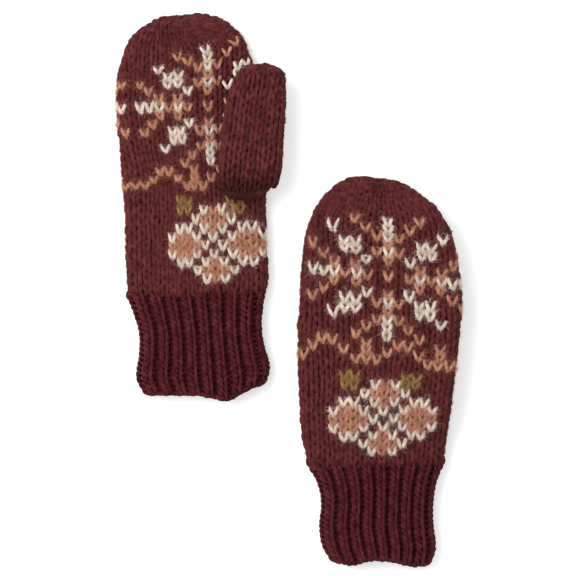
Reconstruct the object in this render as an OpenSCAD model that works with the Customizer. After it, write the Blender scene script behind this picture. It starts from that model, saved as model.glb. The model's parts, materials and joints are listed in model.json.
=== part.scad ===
// A pair of knitted mittens lying flat, side by side. The right-hand mitten lies palm up with its
// thumb folded over the palm. The left-hand mitten lies back up with its thumb folded beneath it.
// +X is to the right, +Y runs from the cuffs to the fingertips, and the pair rests on Z = 0.
// Each mitten is drawn in its own frame first: its cast-on edge at Y = 0, its middle along +Y.

/* [Fabric] */
// Thickness of the knitted fabric
fabric = 4; // [3.5:0.1:4.5]
// Width of one stitch
stitch_w = 7.15; // [6.8:0.05:7.5]
// Height of one round of stitches
row_h = 5.45; // [5.2:0.05:5.6]
// How far a stitch of contrast yarn stands out of the fabric
stitch_proud = 0.6; // [0.3:0.1:0.8]

/* [Hand] */
// Thickness of the hand, both layers and the air between them
hand_t = 16; // [15:0.5:18]
// Length of the right mitten from cast-on edge to tip
right_len = 251; // [245:1:256]
// Length of the left mitten from cast-on edge to tip
left_len = 255; // [248:1:260]
// Squareness of the fingertip outline, where 2 is an ellipse
tip_square = 2.4; // [2:0.1:3]

/* [Cuff] */
// Height of the ribbed cuff
cuff_h = 66; // [60:1:70]
// Thickness of the cuff over its ribs
cuff_t = 15.5; // [15:0.5:16]
// Number of ribs round the cuff
rib_count = 18; // [16:1:20]
// Depth of the grooves between the ribs
rib_depth = 1.3; // [0.6:0.1:1.6]
// Height of the cast-on edge
edge_h = 3; // [2.5:0.1:4]

/* [Thumb] */
// Length of the thumb from its base fold to its tip
thumb_len = 90; // [84:1:94]
// Half of the thumb's width at its base
thumb_half = 21; // [20:0.5:22]
// Half of the thumb's width where its tip starts to round
thumb_half_tip = 19; // [17:0.5:20]
// Thickness of the folded thumb
thumb_t = 13; // [12.5:0.1:14]
// Thickness of the thumb's fabric
thumb_fabric = 3.5; // [3:0.1:3.7]
// Radius of the thumb opening
hole_r = 9.5; // [8:0.1:9.8]
// Width of the round of stitches picked up about the thumb opening
join_w = 1.8; // [1.2:0.1:2]
// Distance from the thumb's base fold to the middle of the thumb opening
hole_in = 14; // [14:0.5:16]

/* [Placing] */
// Where the middle of the right mitten's cast-on edge lies
right_at = [-55.83, -69.63];
// Turn of the right mitten
right_turn = 2; // [0:0.5:4]
// Where the middle of the left mitten's cast-on edge lies
left_at = [59.57, -180.53];
// Turn of the left mitten
left_turn = 1; // [0:0.5:3]
// Turn of the right thumb
right_thumb_turn = -6.5; // [-10:0.5:0]
// Turn of the left thumb
left_thumb_turn = -2.6; // [-6:0.1:0]

/* [Hidden] */
// Clearance between pieces that move on each other
gap = 0.3;
// Least width of the flat face left between a tube's two rounded sides
least_flat = 0.05;
// Height of the palm thumb's underside over the palm, clear of the contrast stitches
thumb_clear = stitch_proud + 0.4;
// Height that the left hand is raised where it lies over its thumb
thumb_lift = thumb_t + 0.7;
// Where the raised part of the left hand starts from its outer edge, and the lengths of its slopes
lift_edge = -46;
lift_across = 36;
lift_along = 48;
lift_end = 223;
// Squareness of the fingertip's edge, seen from the side, and how far the edge sinks with it
tip_edge_square = 5;
tip_sink = 0.6;
// Squareness of the thumb's base fold, its tip and its edges, and the length of its rounded tip
thumb_base_square = 4;
thumb_tip_square = 2.2;
thumb_edge_square = 6;
thumb_tip_l = 32;
// Radius and yarn radius of the drawn-together tips, and how deep they sit
gather_r = 3.6;
gather_yarn = 1.5;
gather_sunk = 0.6;
thumb_gather_r = 2.6;
thumb_gather_yarn = 1.2;
thumb_gather_sunk = 0.9;
// How far a thumb's drawn-together ring is from its tip
thumb_gather_in = 7;
// How far a cut runs past the fabric that it goes through
cut_past = 1;
// Points round one ring of the hand, the cuff and the thumb
hand_n = 48;
cuff_n = rib_count * 5;
thumb_n = 32;

hand_yarn = "#5e2b2d";
cuff_yarn = "#4c1a22";
cream_yarn = "#cdbfae";
rose_yarn = "#b87a60";
olive_yarn = "#8a663c";

// Outline of each mitten: distance from the cast-on edge, half width, and shift of the middle
right_outline = [
    [0, 39, 2], [12, 43, 1.5], [35, 40.3, 0], [52, 40.5, -1],
    [66, 45.5, -2.5], [76, 47.6, -2.5], [125, 47.2, -1], [185, 49, -2]
];
left_outline = [
    [0, 32, 1.5], [8, 36.5, 0.5], [16, 37.5, -0.7], [38, 36.2, -1.2], [52, 38, -1],
    [62, 42.6, -1.5], [80, 47.5, -1.5], [106, 51, 0], [140, 53.5, 2], [172, 53.5, 3.5]
];
// Middle of each thumb opening, in its mitten's frame, and how far the thumb's own middle is from it
right_hole = [27, 140];
right_thumb_shift = 7;
left_hole = [28.8, 146.3];
left_thumb_shift = 0;

// A mitten: outline, length, shift of the middle at the tip, height raised over the thumb,
// middle round of the snowflake, middle column of the snowflake, and the thumb opening where
// that is in the upper face
OUTLINE = 0;
LENGTH = 1;
TIP_SHIFT = 2;
LIFT = 3;
MOTIF_Y = 4;
MOTIF_X = 5;
UPPER_HOLE = 6;
right = [right_outline, right_len, -2, 0, 189, 11, right_hole];
left = [left_outline, left_len, -1, thumb_lift, 185.5, 5.2, undef];

// Where each fingertip is drawn together
right_gather = [-11, 239];
left_gather = [7, 240];

// Knitting charts, one letter a stitch and one line a round, from the top down:
// C is cream, P is rose, O is olive, and a dot is the ground yarn
flake_half = [
    ".....P..C..P....",
    "......P.C.P.....",
    "...C...PCP...C..",
    "....CC..P..CC...",
    ".P..CC.PCP.CC..P",
    "..P...C.P.C...P.",
    "...P.P.....P.P.."
];
flake_middle = ".CCCPCP.P.PCPCCC";
snowflake = concat(flake_half, [flake_middle], [for (i = [len(flake_half) - 1 : -1 : 0]) flake_half[i]]);
zigzag = [
    "..PP..P..PP..P..",
    ".P..P.P.P..P.P..",
    "P....PPP....PPPP"
];
petals = [
    "......CPPPC.....",
    "....CC.CPC.CC...",
    "...CPPC.C.CPPC.."
];
flower = concat(
    ["....OO....OO....", "....OO.CPCOO...."],
    petals,
    ["...PPPPC.CPPPP.."],
    [for (i = [len(petals) - 1 : -1 : 0]) petals[i]],
    [".......CPC......"]
);
snowflake_row = 7;
zigzag_row = -8;
flower_row = -12;
chart_middle = 8;

// 0 up to 1 with a level start and end
function ease(t) = let (u = min(1, max(0, t))) u * u * (3 - 2 * u);

// Column c of a table at the distance y, eased from one line of the table to the next
function along(table, y, c, i = 0) =
    y <= table[0][0] ? table[0][c]
  : i >= len(table) - 1 ? table[len(table) - 1][c]
  : y > table[i + 1][0] ? along(table, y, c, i + 1)
  : table[i][c] + (table[i + 1][c] - table[i][c]) * ease((y - table[i][0]) / (table[i + 1][0] - table[i][0]));

// Fall from 1 to 0 over a rounded end, as t goes from 0 to 1
function rounding(t, power) = pow(1 - pow(min(1, max(0, t)), power), 1 / power);

function tip_start(m) = let (table = m[OUTLINE]) table[len(table) - 1][0];
function tip_part(m, y) = (y - tip_start(m)) / (m[LENGTH] - tip_start(m));
function half_width(m, y) = along(m[OUTLINE], y, 1) * rounding(tip_part(m, y), tip_square);
function half_thick(m, y) = hand_t / 2 * rounding(tip_part(m, y), tip_edge_square);
function middle_x(m, y) =
    along(m[OUTLINE], y, 2) + (m[TIP_SHIFT] - along(m[OUTLINE], y, 2)) * ease(tip_part(m, y));
function middle_z(m, y) = hand_t / 2 - tip_sink * (hand_t / 2 - half_thick(m, y));

// Height that the fabric is raised where the mitten lies over its own thumb
function lift(m, x, y) =
    m[LIFT] * ease((x - lift_edge) / lift_across) * ease((y - cuff_h) / lift_along)
    * (1 - ease((y - lift_end) / (m[LENGTH] - lift_end)));
function top_z(m, x, y) = middle_z(m, y) + half_thick(m, y) + lift(m, x, y);

// A point at the fraction u of the way round a flattened tube, counted from the top right:
// [x, z, outward x, outward z]. flat is half of the level width and r is half of the thickness.
function stadium(flat, r, u) =
    let (bend = PI * r, s = u * (4 * flat + 2 * bend))
    s < 2 * flat ? [flat - s, r, 0, 1]
  : s < 2 * flat + bend ? side_point(-flat, r, 90 + 180 * (s - 2 * flat) / bend)
  : s < 4 * flat + bend ? [s - 3 * flat - bend, -r, 0, -1]
  : side_point(flat, r, -90 + 180 * (s - 4 * flat - bend) / bend);
function side_point(x, r, a) = [x + r * cos(a), r * sin(a), cos(a), sin(a)];

// One ring of points round a flattened tube of half width w and half thickness t at the distance y
function ring(w, t, x, y, z, n) =
    let (r = min(t, w - least_flat))
    [for (i = [0 : n - 1]) let (p = stadium(w - r, r, i / n)) [x + p[0], y, z + p[1]]];

// One ring of the hand, inset from its outside, with the lift over the thumb
function hand_ring(m, y, inset, y_on) =
    [for (p = ring(half_width(m, y_on) - inset, half_thick(m, y_on) - inset, middle_x(m, y), y,
                   middle_z(m, y_on), hand_n))
        [p[0], p[1], p[2] + lift(m, p[0], y)]];

// A closed mesh between outer and inner rings: open at the first end, and at the far end if open_far
module shell(outer, inner, open_far) {
    n = len(outer[0]);
    last = len(outer) - 1;
    inside = len(outer) * n;
    function wall(i, j, k) =
        let (a = k + i * n + j, b = k + i * n + (j + 1) % n) [[a, b, b + n], [a, b + n, a + n]];
    function flip(f) = [f[2], f[1], f[0]];
    function rim(i, j) =
        let (a = i * n + j, b = i * n + (j + 1) % n) [[a, inside + a, inside + b], [a, inside + b, b]];
    outer_faces = [for (i = [0 : last - 1], j = [0 : n - 1]) each wall(i, j, 0)];
    inner_faces = [for (i = [0 : last - 1], j = [0 : n - 1]) each [for (f = wall(i, j, inside)) flip(f)]];
    near_rim = [for (j = [0 : n - 1]) each rim(0, j)];
    far_rim = [for (j = [0 : n - 1]) each [for (f = rim(last, j)) flip(f)]];
    far_caps = [for (j = [0 : n - 1]) let (a = last * n + j, b = last * n + (j + 1) % n)
        each [[a, b, 2 * inside], [inside + b, inside + a, 2 * inside + 1]]];
    centres = open_far ? [] : [centre(outer[last]), centre(inner[last])];
    polyhedron(
        [each joined(outer), each joined(inner), each centres],
        [each outer_faces, each inner_faces, each near_rim, each (open_far ? far_rim : far_caps)]
    );
}
function joined(rings) = [for (r = rings) each r];
function centre(ring) = (ring[0] + ring[len(ring) / 2]) / 2;

// Distances of the hand's rings: even along the hand, and closer over the rounded tip
function hand_steps(m, far) =
    let (start = cuff_h + gap / 2, even = 11, round = 9, bend = tip_start(m))
    [each [for (i = [0 : even - 1]) start + (bend - start) * i / even],
     each [for (i = [0 : round]) bend + (far - bend) * sin(90 * i / round)]];

module right_place() translate(right_at) rotate(right_turn) children();
module left_place() translate(left_at) rotate(left_turn) children();

// The hand's fabric: a flattened bag with its open end at the wrist
module hand_bag(m) {
    blunt = 0.4;
    end = m[LENGTH] - blunt;
    outer_y = hand_steps(m, end);
    inner_y = hand_steps(m, end - fabric);
    outer = [for (y = outer_y) hand_ring(m, y, 0, y)];
    inner = [for (y = inner_y) hand_ring(m, y, fabric, y)];
    shell(outer, inner, false);
}

// The round cut in the hand that the thumb join fills
module thumb_cut() cylinder(h = fabric + 2 * cut_past, r = hole_r + join_w, $fn = 48);

module right_hand() color(hand_yarn) right_place() difference() {
    hand_bag(right);
    translate([right_hole.x, right_hole.y, hand_t - fabric - cut_past]) thumb_cut();
}

module left_hand() color(hand_yarn) left_place() difference() {
    hand_bag(left);
    translate([left_hole.x, left_hole.y, thumb_lift - cut_past]) thumb_cut();
}

// The round of stitches picked up about the thumb opening, as a ring with a bore
module thumb_join(height) rotate_extrude($fn = 48) translate([hole_r, 0]) square([join_w, height]);

module right_thumb_join() color(hand_yarn) right_place()
    translate([right_hole.x, right_hole.y, hand_t - fabric]) thumb_join(fabric + thumb_clear - gap);

module left_thumb_join() color(hand_yarn) left_place()
    translate([left_hole.x, left_hole.y, thumb_t + gap]) thumb_join(thumb_lift - thumb_t - gap + fabric);

// The stitches drawn together at a fingertip, as a small ring
module gather(r, yarn) rotate_extrude($fn = 32) translate([r, 0]) circle(r = yarn, $fn = 16);

// The same on the upper face of a mitten at the point p
module tip_gather(m, p)
    translate([p.x, p.y, top_z(m, p.x, p.y) - gather_sunk]) gather(gather_r, gather_yarn);

module right_tip_gather() color(hand_yarn) right_place() tip_gather(right, right_gather);
module left_tip_gather() color(hand_yarn) left_place() tip_gather(left, left_gather);

// One ring of the cuff, with a ridge for each rib
function cuff_ring(m, y, inset, ribbed, shrink = 0) =
    let (t = cuff_t / 2 - inset - shrink, w = half_width(m, y) - inset - shrink, x = middle_x(m, y))
    [for (i = [0 : cuff_n - 1])
        let (p = stadium(w - t, t, i / cuff_n),
             in = ribbed * rib_depth * (1 - cos(360 * i * rib_count / cuff_n)) / 2)
        [x + p[0] - in * p[2], y, cuff_t / 2 + p[1] - in * p[3]]];

module cuff_tube(m) {
    steps = 8;
    end = cuff_h - gap / 2;
    ys = [for (i = [0 : steps]) edge_h + (end - edge_h) * i / steps];
    shell([for (y = ys) cuff_ring(m, y, 0, 1)], [for (y = ys) cuff_ring(m, y, fabric, 0)], true);
}

module right_cuff() color(cuff_yarn) right_place() cuff_tube(right);
module left_cuff() color(cuff_yarn) left_place() cuff_tube(left);

// The firm first round of the cuff, with rounded lips
module cast_on_edge(m) {
    lip = 0.8;
    ys = [0, lip, edge_h];
    outer = [for (y = ys) cuff_ring(m, y, 0, 1, y == 0 ? lip : 0)];
    inner = [for (y = ys) cuff_ring(m, y, fabric, 0, y == 0 ? -lip : 0)];
    shell(outer, inner, true);
}

module right_cast_on_edge() color(cuff_yarn) right_place() cast_on_edge(right);
module left_cast_on_edge() color(cuff_yarn) left_place() cast_on_edge(left);

// The thumb's outline about the middle of its opening: rounded at the base fold and at the tip
thumb_base = -hole_in;
thumb_end = thumb_len - hole_in;
thumb_tip_start = thumb_end - thumb_tip_l;
function thumb_half_width(y) =
    y < 0 ? thumb_half * rounding(-y / hole_in, thumb_base_square)
  : (thumb_half + (thumb_half_tip - thumb_half) * ease(y / thumb_tip_start))
    * rounding((y - thumb_tip_start) / thumb_tip_l, thumb_tip_square);
function thumb_half_thick(y) =
    thumb_t / 2 * rounding(y < 0 ? -y / hole_in : (y - thumb_tip_start) / thumb_tip_l, thumb_edge_square);

// One ring of the thumb, at y_on on the outside and drawn at y
function thumb_ring(y, inset, shift) =
    ring(thumb_half_width(y) - inset, thumb_half_thick(y) - inset, shift, y, thumb_t / 2, thumb_n);

// A solid between rings that are closed at both ends
module solid_rings(rings) {
    n = len(rings[0]);
    last = len(rings) - 1;
    faces = [for (i = [0 : last - 1], j = [0 : n - 1])
        let (a = i * n + j, b = i * n + (j + 1) % n) each [[a, b, b + n], [a, b + n, a + n]]];
    caps = [for (j = [0 : n - 1]) let (k = (j + 1) % n, a = last * n + j, b = last * n + k)
        each [[k, j, n * len(rings)], [a, b, n * len(rings) + 1]]];
    polyhedron([each joined(rings), centre(rings[0]), centre(rings[last])], [each faces, each caps]);
}

// Distances of the thumb's rings, closer over both rounded ends
function thumb_steps(inset) =
    let (blunt = 0.2, base = thumb_base + inset + blunt, end = thumb_end - inset - blunt, round = 6, even = 4)
    [each [for (i = [0 : round - 1]) base * cos(90 * i / round)],
     each [for (i = [0 : even - 1]) thumb_tip_start * i / even],
     each [for (i = [0 : round]) thumb_tip_start + (end - thumb_tip_start) * sin(90 * i / round)]];

// The thumb's fabric: a flattened bag with a round opening in the side that faces the palm
module thumb_bag(shift, hole_z) difference() {
    solid_rings([for (y = thumb_steps(0)) thumb_ring(y, 0, shift)]);
    solid_rings([for (y = thumb_steps(thumb_fabric)) thumb_ring(y, thumb_fabric, shift)]);
    translate([0, 0, hole_z - cut_past]) cylinder(h = thumb_fabric + 2 * cut_past, r = hole_r, $fn = 48);
}

module right_thumb_place()
    right_place() translate([right_hole.x, right_hole.y, hand_t + thumb_clear])
        rotate(right_thumb_turn - right_turn) children();
module left_thumb_place()
    left_place() translate([left_hole.x, left_hole.y, 0])
        rotate(left_thumb_turn - left_turn) children();

module right_thumb() color(hand_yarn) right_thumb_place() thumb_bag(right_thumb_shift, 0);
module left_thumb() color(hand_yarn) left_thumb_place() thumb_bag(left_thumb_shift, thumb_t - thumb_fabric);

// The stitches drawn together at the thumb's tip
module thumb_gather(shift, z)
    translate([shift, thumb_end - thumb_gather_in, z]) gather(thumb_gather_r, thumb_gather_yarn);
module right_thumb_gather() color(hand_yarn) right_thumb_place()
    thumb_gather(right_thumb_shift, thumb_t - thumb_gather_sunk);
module left_thumb_gather() color(hand_yarn) left_thumb_place()
    thumb_gather(left_thumb_shift, thumb_gather_yarn + gap);

// One stitch of contrast yarn: two legs that meet in a V, standing a little out of the fabric
module stitch() {
    sunk = 1.8;
    w = stitch_w * 0.48;
    h = row_h * 0.72;
    side = -0.1 * h;
    fork = 0.15 * h;
    translate([0, 0, -sunk]) linear_extrude(sunk + stitch_proud)
        polygon([[0, -h], [w, side], [w, h], [0, fork], [-w, h], [-w, side]]);
}

// The stitches of one yarn in a chart, on the level part of the hand's upper face
module motif(m, chart, first_row, yarn)
    for (i = [0 : len(chart) - 1], j = [0 : len(chart[i]) - 1])
        if (chart[i][j] == yarn) {
            y = m[MOTIF_Y] + (first_row - i) * row_h;
            across = m[MOTIF_X] + (j - chart_middle) * stitch_w;
            x = middle_x(m, y) + across;
            level = abs(across) < half_width(m, y) - half_thick(m, y) - stitch_w / 4;
            on_join = m[UPPER_HOLE] != undef && norm([x, y] - m[UPPER_HOLE]) < hole_r + join_w + row_h;
            if (level && !on_join)
                translate([x, y, top_z(m, x, y)]) stitch();
        }

module right_snowflake_cream() color(cream_yarn) right_place() motif(right, snowflake, snowflake_row, "C");
module right_snowflake_rose() color(rose_yarn) right_place() motif(right, snowflake, snowflake_row, "P");
module right_zigzag_rose() color(rose_yarn) right_place() motif(right, zigzag, zigzag_row, "P");
module right_flower_cream() color(cream_yarn) right_place() motif(right, flower, flower_row, "C");
module right_flower_rose() color(rose_yarn) right_place() motif(right, flower, flower_row, "P");
module right_leaves_olive() color(olive_yarn) right_place() motif(right, flower, flower_row, "O");
module left_snowflake_cream() color(cream_yarn) left_place() motif(left, snowflake, snowflake_row, "C");
module left_snowflake_rose() color(rose_yarn) left_place() motif(left, snowflake, snowflake_row, "P");
module left_zigzag_rose() color(rose_yarn) left_place() motif(left, zigzag, zigzag_row, "P");
module left_flower_cream() color(cream_yarn) left_place() motif(left, flower, flower_row, "C");
module left_flower_rose() color(rose_yarn) left_place() motif(left, flower, flower_row, "P");
module left_leaves_olive() color(olive_yarn) left_place() motif(left, flower, flower_row, "O");

right_hand();
right_tip_gather();
right_thumb_join();
right_cuff();
right_cast_on_edge();
right_thumb();
right_thumb_gather();
right_snowflake_cream();
right_snowflake_rose();
right_zigzag_rose();
right_flower_cream();
right_flower_rose();
right_leaves_olive();
left_hand();
left_tip_gather();
left_thumb_join();
left_cuff();
left_cast_on_edge();
left_thumb();
left_thumb_gather();
left_snowflake_cream();
left_snowflake_rose();
left_zigzag_rose();
left_flower_cream();
left_flower_rose();
left_leaves_olive();
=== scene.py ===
"""Looks for a pair of hand-knitted mittens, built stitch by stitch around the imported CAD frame.

Every round of knitting is real yarn: tubes that run as loops over a net of stitches. A net is a sheet
of nodes, one for each stitch, laid in rounds about the flattened shape of a hand, cuff or thumb. Only
the base of a thumb, which turns in to its opening, is relaxed into place.
Work is done in millimetres in each mitten's own frame (cast-on edge at y = 0, fingertips towards +y),
and turned into the frame's metres when a mesh is made.
"""

import json
import math
from types import SimpleNamespace

import bpy
import numpy as np
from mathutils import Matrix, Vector


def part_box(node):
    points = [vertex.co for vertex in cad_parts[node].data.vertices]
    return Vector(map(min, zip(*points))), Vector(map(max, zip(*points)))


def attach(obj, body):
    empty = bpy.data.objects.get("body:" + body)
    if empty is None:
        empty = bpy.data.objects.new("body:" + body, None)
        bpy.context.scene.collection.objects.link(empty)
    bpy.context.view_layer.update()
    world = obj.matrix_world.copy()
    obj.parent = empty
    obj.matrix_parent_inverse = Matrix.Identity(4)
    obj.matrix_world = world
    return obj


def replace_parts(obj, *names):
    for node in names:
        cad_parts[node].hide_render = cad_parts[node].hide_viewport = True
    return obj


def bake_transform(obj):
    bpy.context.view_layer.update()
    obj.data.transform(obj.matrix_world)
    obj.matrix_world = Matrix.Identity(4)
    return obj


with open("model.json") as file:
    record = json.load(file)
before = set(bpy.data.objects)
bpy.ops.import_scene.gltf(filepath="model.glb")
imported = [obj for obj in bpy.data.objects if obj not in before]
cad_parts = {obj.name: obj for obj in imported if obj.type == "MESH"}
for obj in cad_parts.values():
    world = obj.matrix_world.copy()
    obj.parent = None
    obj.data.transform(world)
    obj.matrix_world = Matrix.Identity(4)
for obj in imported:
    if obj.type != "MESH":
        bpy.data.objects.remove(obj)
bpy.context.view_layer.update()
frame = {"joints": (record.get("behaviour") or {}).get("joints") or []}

MM = 0.001
rng = np.random.default_rng(11)

# ---------------------------------------------------------------- sizes of the knitting, in mm

ROUND_STITCHES = 32  # stitches round a hand
TIP_ROUNDS = 7  # rounds from the top of the snowflake to the drawn-together tip
YARN_R = 1.2  # radius of the hand's yarn where it is drawn tight
GROUND_R, CONTRAST_R = 1.46, 1.12  # and where it fluffs out, for the ground and the contrast yarns
LOOP_DEPTH = 0.85  # how far a loop swings to either side of its net
SKIN = YARN_R + LOOP_DEPTH  # from the net to the outside of the fabric
CUFF_ROUNDS = 18
CUFF_STITCHES = 36
CUFF_H = 66.0
THUMB_STITCHES = 14
THUMB_ROUNDS = 18
THUMB_HOLE = 9.5  # radius of a thumb's opening
FIRST_ROW, FLAKE_TOP = -22, 7  # rounds at the wrist and at the top of the snowflake

# ---------------------------------------------------------------- charts, as in part.scad

FLAKE_HALF = [
    ".....P..C..P....",
    "......P.C.P.....",
    "...C...PCP...C..",
    "....CC..P..CC...",
    ".P..CC.PCP.CC..P",
    "..P...C.P.C...P.",
    "...P.P.....P.P..",
]
SNOWFLAKE = FLAKE_HALF + [".CCCPCP.P.PCPCCC"] + FLAKE_HALF[::-1]
ZIGZAG = [
    "..PP..P..PP..P..",
    ".P..P.P.P..P.P..",
    "P....PPP....PPPP",
]
PETALS = [
    "......CPPPC.....",
    "....CC.CPC.CC...",
    "...CPPC.C.CPPC..",
]
FLOWER = (
    ["....OO....OO....", "....OO.CPCOO...."]
    + PETALS
    + ["...PPPPC.CPPPP.."]
    + PETALS[::-1]
    + [".......CPC......"]
)
CHARTS = [("snowflake", SNOWFLAKE, 7), ("zigzag", ZIGZAG, -8), ("flower", FLOWER, -12)]
CHART_WIDTH, CHART_MIDDLE = 16, 8


def chart_stitch(row, column):
    """(chart name, letter) of the stitch, where the letter is . for the ground yarn."""
    for name, chart, top in CHARTS:
        line = top - row
        if 0 <= line < len(chart):
            return name, chart[line][(column + CHART_MIDDLE) % CHART_WIDTH]
    return None, "."


# ---------------------------------------------------------------- the two mittens

# Each mitten's shape in its own frame, in mm. A table holds (round, value) pairs unless it says otherwise.
#   wrist_x        middle of the wrist
#   length         from the cast-on edge to the tip
#   outline        of the hand, from the wrist's left side round the tip to its right side
#   rows           height of a round at the middle of the front
#   middle_column  x of the charts' middle column
#   tilt_left      how much a round rises for each mm to the right, on the left of that column
#   tilt_right     the same on its right
#   pitch          width of a stitch at that column
#   slant          how far the stitches on both sides of that column are pulled towards +x
#   loose          stitches that are pulled large: {(round, column): how many times larger}
#   gather         x at which the tip is drawn together
#   cuff_edges     (y, left x, right x)
#   hem            (x, how far the cast-on edge is moved up there)
#   lift           how far the hand is raised over its thumb
#   thumb_face     1 if the thumb lies on the upper face, -1 if it lies under the lower one
#   thumb_turn     turn of the thumb, in degrees
#   hole           middle of the thumb opening

right = SimpleNamespace(
    name="right",
    wrist_x=-2.5,
    length=251,
    outline=[
        (-46, 60), (-48, 83), (-48, 125), (-50, 165), (-51, 196), (-46.5, 222), (-34, 241), (-12, 250.5),
        (13, 249.5), (31, 238), (39.5, 219), (45, 180), (46.5, 145), (45.5, 100), (46, 75), (41, 60),
    ],
    rows=[(-22, 70), (-16, 102.5), (-12, 126), (-9, 142.5), (-6, 157), (0, 188.5), (7, 226)],
    middle_column=[(-22, 11), (-16, 10.2), (-12, 10.8), (-9, 10.8), (-6, 10), (0, 10), (7, 11)],
    tilt_left=[(-15, 0), (-12, -0.11), (-9, 0.03), (-5, 0), (0, -0.02), (3, -0.01), (5, 0.08), (7, 0.27)],
    tilt_right=[(-14, 0), (-9, 0.04), (0, 0.2), (2, 0.25), (7, 0.29)],
    pitch=[(-22, 5.9), (-16, 6.0), (-12, 5.65), (-9, 5.8), (-5, 5.7), (-3, 5.9), (0, 6.5), (7, 6.6)],
    slant=[(-22, 2.5), (-16, 4.6), (-12, 3), (-9, 3), (-5, 0), (7, 0)],
    loose={(5, -5): 1.4},
    gather=-10,
    cuff_edges=[
        (0, -38, 41), (10, -42.5, 43.5), (24, -40.5, 41), (40, -39.5, 39), (54, -42.5, 40), (66, -47, 42.5),
    ],
    hem=[(-38, 2.5), (-3, 1), (16, -3.5), (31, 4), (43, 8)],
    lift=0.0,
    thumb_face=1,
    thumb_turn=-6.5,
    hole=(27, 140),
)
left = SimpleNamespace(
    name="left",
    wrist_x=-1.8,
    length=255,
    outline=[
        (-43, 60), (-49, 80), (-51, 104), (-51, 140), (-49, 180), (-44.5, 217), (-33, 241), (-14, 253.5),
        (12, 253), (35, 240), (50, 220), (57, 189), (57, 160), (53, 125), (49, 95), (43, 60),
    ],
    rows=[(-22, 68), (-12, 122.5), (-6, 153.5), (0, 187.5), (7, 223.5)],
    middle_column=[(-22, 3), (-17, 4.5), (-12, 6.7), (-8, 7.6), (0, 9.5), (7, 9.5)],
    tilt_left=[(-22, 0.03), (-15, 0.02), (-9, -0.13), (0, -0.14), (4, -0.19), (7, -0.13)],
    tilt_right=[(-22, 0), (-16, -0.02), (-9, -0.13), (0, -0.12), (4, -0.09), (7, -0.06)],
    pitch=[(-22, 6.2), (-16, 6.5), (-12, 6.6), (-8, 6.9), (0, 7.0), (7, 7.3)],
    slant=[(-22, 0), (7, 0)],
    loose={(5, -5): 1.7, (-5, -5): 1.4},
    gather=8,
    cuff_edges=[
        (0, -30.5, 33.5), (10, -36, 36.8), (24, -37.5, 35.5), (40, -36, 35.7), (54, -38.5, 38.5),
        (66, -45, 43.7),
    ],
    hem=[(-30, 3), (-18, 0.5), (-4, 3.5), (8, 2.5), (22, -1), (33, -0.5)],
    lift=13.7,
    thumb_face=-1,
    thumb_turn=-2.6,
    hole=(28.8, 146.3),
)

# Outline of a thumb about the pivot in its opening, with its base fold at the bottom, and its middle
THUMB_OUTLINE = [
    (-12, -9), (-13.5, 5), (-13.5, 25), (-13, 47), (-9, 67), (0, 77), (12, 79.5),
    (22.5, 74.5), (26.8, 57), (27.8, 33), (29.5, 10), (26, -6), (12, -12.5), (-3, -13),
]
THUMB_MIDDLE = 8.0


def joint(name):
    """The frame's entry for a joint."""
    return next(j for j in frame["joints"] if j["name"] == name)


def place_of(mitten):
    """Turn and origin of a mitten's own frame, from the axis of its cuff's joint."""
    bend = joint(f"{mitten.name}_cuff_bend")
    turn = math.atan2(-bend["axis"][1], -bend["axis"][0])
    pivot = np.array(bend["pos_m"][:2]) / MM
    c, s = math.cos(turn), math.sin(turn)
    across, up = mitten.wrist_x, CUFF_H
    return turn, pivot - np.array([c * across - s * up, s * across + c * up])


def placed(points, turn, origin):
    """Points of a mitten's or thumb's own frame in the row frame, still in mm."""
    c, s = math.cos(turn), math.sin(turn)
    out = np.array(points, float)
    out[:, 0] = c * points[:, 0] - s * points[:, 1] + origin[0]
    out[:, 1] = s * points[:, 0] + c * points[:, 1] + origin[1]
    return out


def ease(t):
    """A smooth step from 0 to 1."""
    t = np.clip(t, 0, 1)
    return t * t * (3 - 2 * t)


def table(pairs, x):
    """A value read from a short table, with straight lines between its entries."""
    return np.interp(x, [p[0] for p in pairs], [p[1] for p in pairs])


def smooth_line(points, spacing=1.0):
    """A smooth curve through the points, as closely spaced points."""
    p = np.array(points, float)
    ends = np.vstack([2 * p[0] - p[1], p, 2 * p[-1] - p[-2]])
    out = []
    for k in range(len(p) - 1):
        a, b, c, d = ends[k : k + 4]
        n = max(2, int(np.linalg.norm(c - b) / spacing))
        t = (np.arange(n) / n)[:, None]
        part = 2 * b + (c - a) * t
        part += (2 * a - 5 * b + 4 * c - d) * t**2
        part += (3 * b - a - 3 * c + d) * t**3
        out.append(0.5 * part)
    return np.vstack(out + [p[-1:]])


# ---------------------------------------------------------------- nets of stitches


class Slab:
    """A flattened, closed shape: an outline in plan, level faces, and rounded edges."""

    def __init__(self, line, half, edge, middle):
        self.line, self.half, self.edge, self.middle = line, half, edge, middle
        along = np.gradient(line, axis=0)
        along /= np.linalg.norm(along, axis=1)[:, None]
        self.inward = np.stack([along[:, 1], -along[:, 0]], 1)

    def nearest(self, xy):
        """The outline's point nearest to each point."""
        return ((xy[:, None, :] - self.line[None]) ** 2).sum(2).argmin(1)

    def inset(self, xy, near=None):
        """How far each point is inside the outline, and the inward direction there."""
        near = self.nearest(xy) if near is None else near
        n = self.inward[near]
        return ((xy - self.line[near]) * n).sum(1), n

    def project(self, p, near=None):
        """The points moved onto the slab's surface."""
        flat_p = p.reshape(-1, 3)
        xy, z = flat_p[:, :2], flat_p[:, 2] - self.middle
        d, n = self.inset(xy, near)
        out = self.edge - d
        k = 1 / np.maximum(np.hypot(out / self.edge, z / self.half), 1e-6)
        level = d >= self.edge
        z_new = np.where(level, np.where(z > 0, self.half, -self.half), z * k)
        shift = np.where(level, 0, self.edge - out * k - d)
        return np.column_stack([xy + n * shift[:, None], z_new + self.middle]).reshape(p.shape)


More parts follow.
